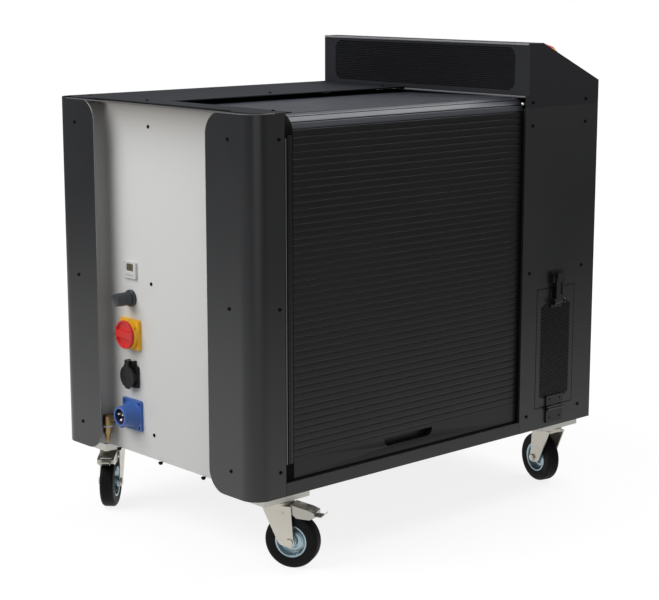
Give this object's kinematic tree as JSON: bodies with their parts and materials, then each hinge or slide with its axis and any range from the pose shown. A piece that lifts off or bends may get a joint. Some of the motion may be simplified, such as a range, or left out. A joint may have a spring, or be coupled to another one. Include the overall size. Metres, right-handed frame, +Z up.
{
  "type": "laser cleaning machine",
  "caption": "Mobile sheet-metal cabinet on swivel casters with a roller shutter over a storage bay, a sloping console, a filter door and a supply end with switch, sockets and air coupling.",
  "frame": {"origin": "on the floor under the cabinet's middle", "axes": "+X from the supply end to the console, +Y from the shutter side to the far side, +Z up"},
  "size_m": [1.0084, 0.7461, 1.012],
  "materials": {
    "charcoal_coat": "fine textured powder coat",
    "dark_coat": "fine textured powder coat",
    "top_coat": "fine textured powder coat",
    "light_coat": "smooth satin powder coat",
    "slat_dark": "satin coated aluminium slats",
    "track_black": "satin",
    "frame_steel": "matt",
    "zinc": "zinc plated, slightly warm",
    "rim_steel": "zinc plated pressed steel",
    "rubber_black": "matt",
    "black_plastic": "fine grain",
    "cap_plastic": "fine grain",
    "screw_black": "black oxide",
    "white_plastic": "satin",
    "yellow_plastic": "satin",
    "red_plastic": "gloss",
    "blue_plastic": "satin",
    "green_plastic": "gloss",
    "screen_black": "gloss front",
    "pin_metal": "nickel plated",
    "brass": "worn",
    "filter_felt": "felted",
    "fin_metal": "satin",
    "tank_plastic": "translucent white",
    "pump_paint": "satin",
    "source_metal": "anodised"
  },
  "bodies": {
    "cabinet": {"base_frame": "frame_steel", "floor_pan": "frame_steel", "caster_plates": "zinc", "post_cover_near": "charcoal_coat", "post_cover_far": "charcoal_coat", "end_panel": "light_coat", "top_cover": "top_coat", "sill": "charcoal_coat", "track_left": "track_black", "track_right": "track_black", "shutter_top": "slat_dark", "console_housing": "dark_coat", "console_back": "dark_coat", "side_panel_near": "charcoal_coat", "side_panel_far": "charcoal_coat", "console_end_panel": "charcoal_coat", "shutter_curtain": "slat_dark", "filter_mat": "filter_felt", "door_fittings": "black_plastic", "meter": "white_plastic", "connector_base": "cap_plastic", "switch_plate": "yellow_plastic", "socket_body": "black_plastic", "inlet_housing": "blue_plastic", "inlet_pins": "pin_metal", "air_coupling": "brass", "estop_collar": "yellow_plastic", "touch_panel": "screen_black", "storage_bin": "frame_steel", "laser_source": "source_metal", "coolant_tank": "tank_plastic", "coolant_pump": "pump_paint", "radiator": "fin_metal", "cover_screws": "screw_black"},
    "shutter": {"shutter_bar": "slat_dark"},
    "filter_hatch": {"filter_door": "charcoal_coat", "door_hinge_leaf": "black_plastic", "latch_base": "black_plastic"},
    "latch": {"latch_lever": "black_plastic"},
    "cap": {"connector_cap": "cap_plastic"},
    "main_switch": {"switch_handle": "red_plastic"},
    "lid": {"socket_lid": "black_plastic"},
    "emergency_stop": {"estop_button": "red_plastic"},
    "selector": {"selector_knob": "black_plastic"},
    "start": {"start_button": "green_plastic"},
    "fan": {"fan_rotor": "black_plastic"},
    "caster_1": {"fork_1": "zinc"},
    "wheel_1": {"rim_1": "rim_steel", "tyre_1": "rubber_black"},
    "brake_1": {"pedal_1": "zinc"},
    "caster_2": {"fork_2": "zinc"},
    "wheel_2": {"rim_2": "rim_steel", "tyre_2": "rubber_black"},
    "brake_2": {"pedal_2": "zinc"},
    "caster_3": {"fork_3": "zinc"},
    "wheel_3": {"rim_3": "rim_steel", "tyre_3": "rubber_black"},
    "caster_4": {"fork_4": "zinc"},
    "wheel_4": {"rim_4": "rim_steel", "tyre_4": "rubber_black"}
  },
  "joints": [
    {"name": "caster_swivel_1", "type": "hinge", "parent": "cabinet", "child": "caster_1", "pos_m": [-0.408, -0.283, 0.13], "axis": [0, 0, 1], "continuous": true},
    {"name": "wheel_spin_1", "type": "hinge", "parent": "caster_1", "child": "wheel_1", "pos_m": [-0.392, -0.31186, 0.0555], "axis": [0.8746, 0.4848, 0], "continuous": true},
    {"name": "brake_pedal_1", "type": "hinge", "parent": "caster_1", "child": "brake_1", "pos_m": [-0.3983, -0.30049, 0.116], "axis": [0.8746, 0.4848, 0], "range_deg": [0, 12]},
    {"name": "caster_swivel_2", "type": "hinge", "parent": "cabinet", "child": "caster_2", "pos_m": [-0.408, 0.279, 0.13], "axis": [0, 0, 1], "continuous": true},
    {"name": "wheel_spin_2", "type": "hinge", "parent": "caster_2", "child": "wheel_2", "pos_m": [-0.43213, 0.25649, 0.0555], "axis": [0.682, -0.7314, 0], "continuous": true},
    {"name": "brake_pedal_2", "type": "hinge", "parent": "caster_2", "child": "brake_2", "pos_m": [-0.42263, 0.26536, 0.116], "axis": [0.682, -0.7314, 0], "range_deg": [0, 12]},
    {"name": "caster_swivel_3", "type": "hinge", "parent": "cabinet", "child": "caster_3", "pos_m": [0.416, -0.283, 0.13], "axis": [0, 0, 1], "continuous": true},
    {"name": "wheel_spin_3", "type": "hinge", "parent": "caster_3", "child": "wheel_3", "pos_m": [0.42286, -0.25072, 0.0555], "axis": [-0.9781, 0.2079, 0], "continuous": true},
    {"name": "caster_swivel_4", "type": "hinge", "parent": "cabinet", "child": "caster_4", "pos_m": [0.416, 0.279, 0.13], "axis": [0, 0, 1], "continuous": true},
    {"name": "wheel_spin_4", "type": "hinge", "parent": "caster_4", "child": "wheel_4", "pos_m": [0.42173, 0.3115, 0.0555], "axis": [-0.9848, 0.1736, 0], "continuous": true},
    {"name": "shutter_lift", "type": "slide", "parent": "cabinet", "child": "shutter", "axis": [0, 0, 1], "range_m": [0, 0.58], "deforming": ["shutter_curtain"]},
    {"name": "filter_door_hinge", "type": "hinge", "parent": "cabinet", "child": "filter_hatch", "pos_m": [0.3735, -0.332, 0.197], "axis": [1, 0, 0], "range_deg": [0, 90]},
    {"name": "latch_lift", "type": "hinge", "parent": "filter_hatch", "child": "latch", "pos_m": [0.3735, -0.336, 0.441], "axis": [1, 0, 0], "range_deg": [0, 110]},
    {"name": "cap_turn", "type": "hinge", "parent": "cabinet", "child": "cap", "pos_m": [-0.478, 0.129, 0.489], "axis": [-1, 0, 0], "continuous": true},
    {"name": "main_switch_turn", "type": "hinge", "parent": "cabinet", "child": "main_switch", "pos_m": [-0.472, 0.129, 0.413], "axis": [-1, 0, 0], "range_deg": [0, 90]},
    {"name": "socket_lid_hinge", "type": "hinge", "parent": "cabinet", "child": "lid", "pos_m": [-0.464, 0.129, 0.3525], "axis": [0, 1, 0], "range_deg": [0, 100], "stiffness_Nm_per_rad": 0.02, "springref_deg": -17.19},
    {"name": "emergency_stop_push", "type": "slide", "parent": "cabinet", "child": "emergency_stop", "axis": [-0.4142, 0, -0.9102], "range_m": [0, 0.005], "stiffness_N_per_m": 400, "springref_m": -0.001},
    {"name": "selector_turn", "type": "hinge", "parent": "cabinet", "child": "selector", "pos_m": [0.38582, 0.263, 0.97887], "axis": [0.4142, 0, 0.9102], "range_deg": [-45, 45]},
    {"name": "start_button_push", "type": "slide", "parent": "cabinet", "child": "start", "axis": [-0.4142, 0, -0.9102], "range_m": [0, 0.0025], "stiffness_N_per_m": 300, "springref_m": -0.001},
    {"name": "fan_spin", "type": "hinge", "parent": "cabinet", "child": "fan", "pos_m": [0.3735, -0.219, 0.343], "axis": [0, 1, 0], "continuous": true}
  ]
}
